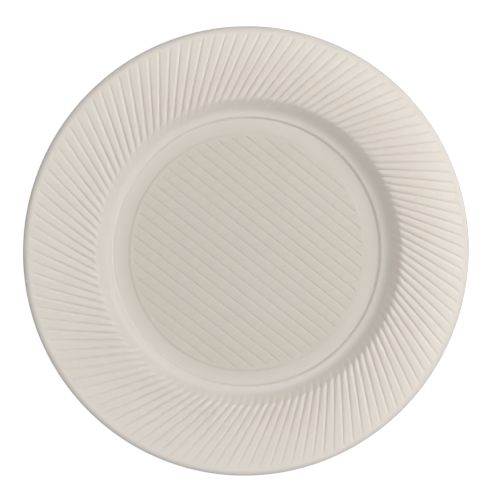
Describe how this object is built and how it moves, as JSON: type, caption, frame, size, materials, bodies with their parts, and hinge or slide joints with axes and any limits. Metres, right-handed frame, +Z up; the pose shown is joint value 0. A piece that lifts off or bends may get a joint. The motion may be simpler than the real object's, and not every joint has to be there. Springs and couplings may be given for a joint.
{
  "type": "disposable plate",
  "caption": "Round disposable plate of thin off-white plastic, with a shallow well, a lattice-grooved floor, and a wide rim of swirled ribs; it rests on a foot ring.",
  "frame": {"origin": "centre of the foot ring's underside, on the plate's axis", "axes": "+Z up along the plate's axis, out of the well; +X along the longer diagonal of the lattice's cells"},
  "size_m": [0.22, 0.22, 0.015],
  "materials": {
    "plastic": "thin formed sheet, off-white, soft gloss"
  },
  "bodies": {
    "root": {"plate": "plastic"}
  },
  "joints": []
}
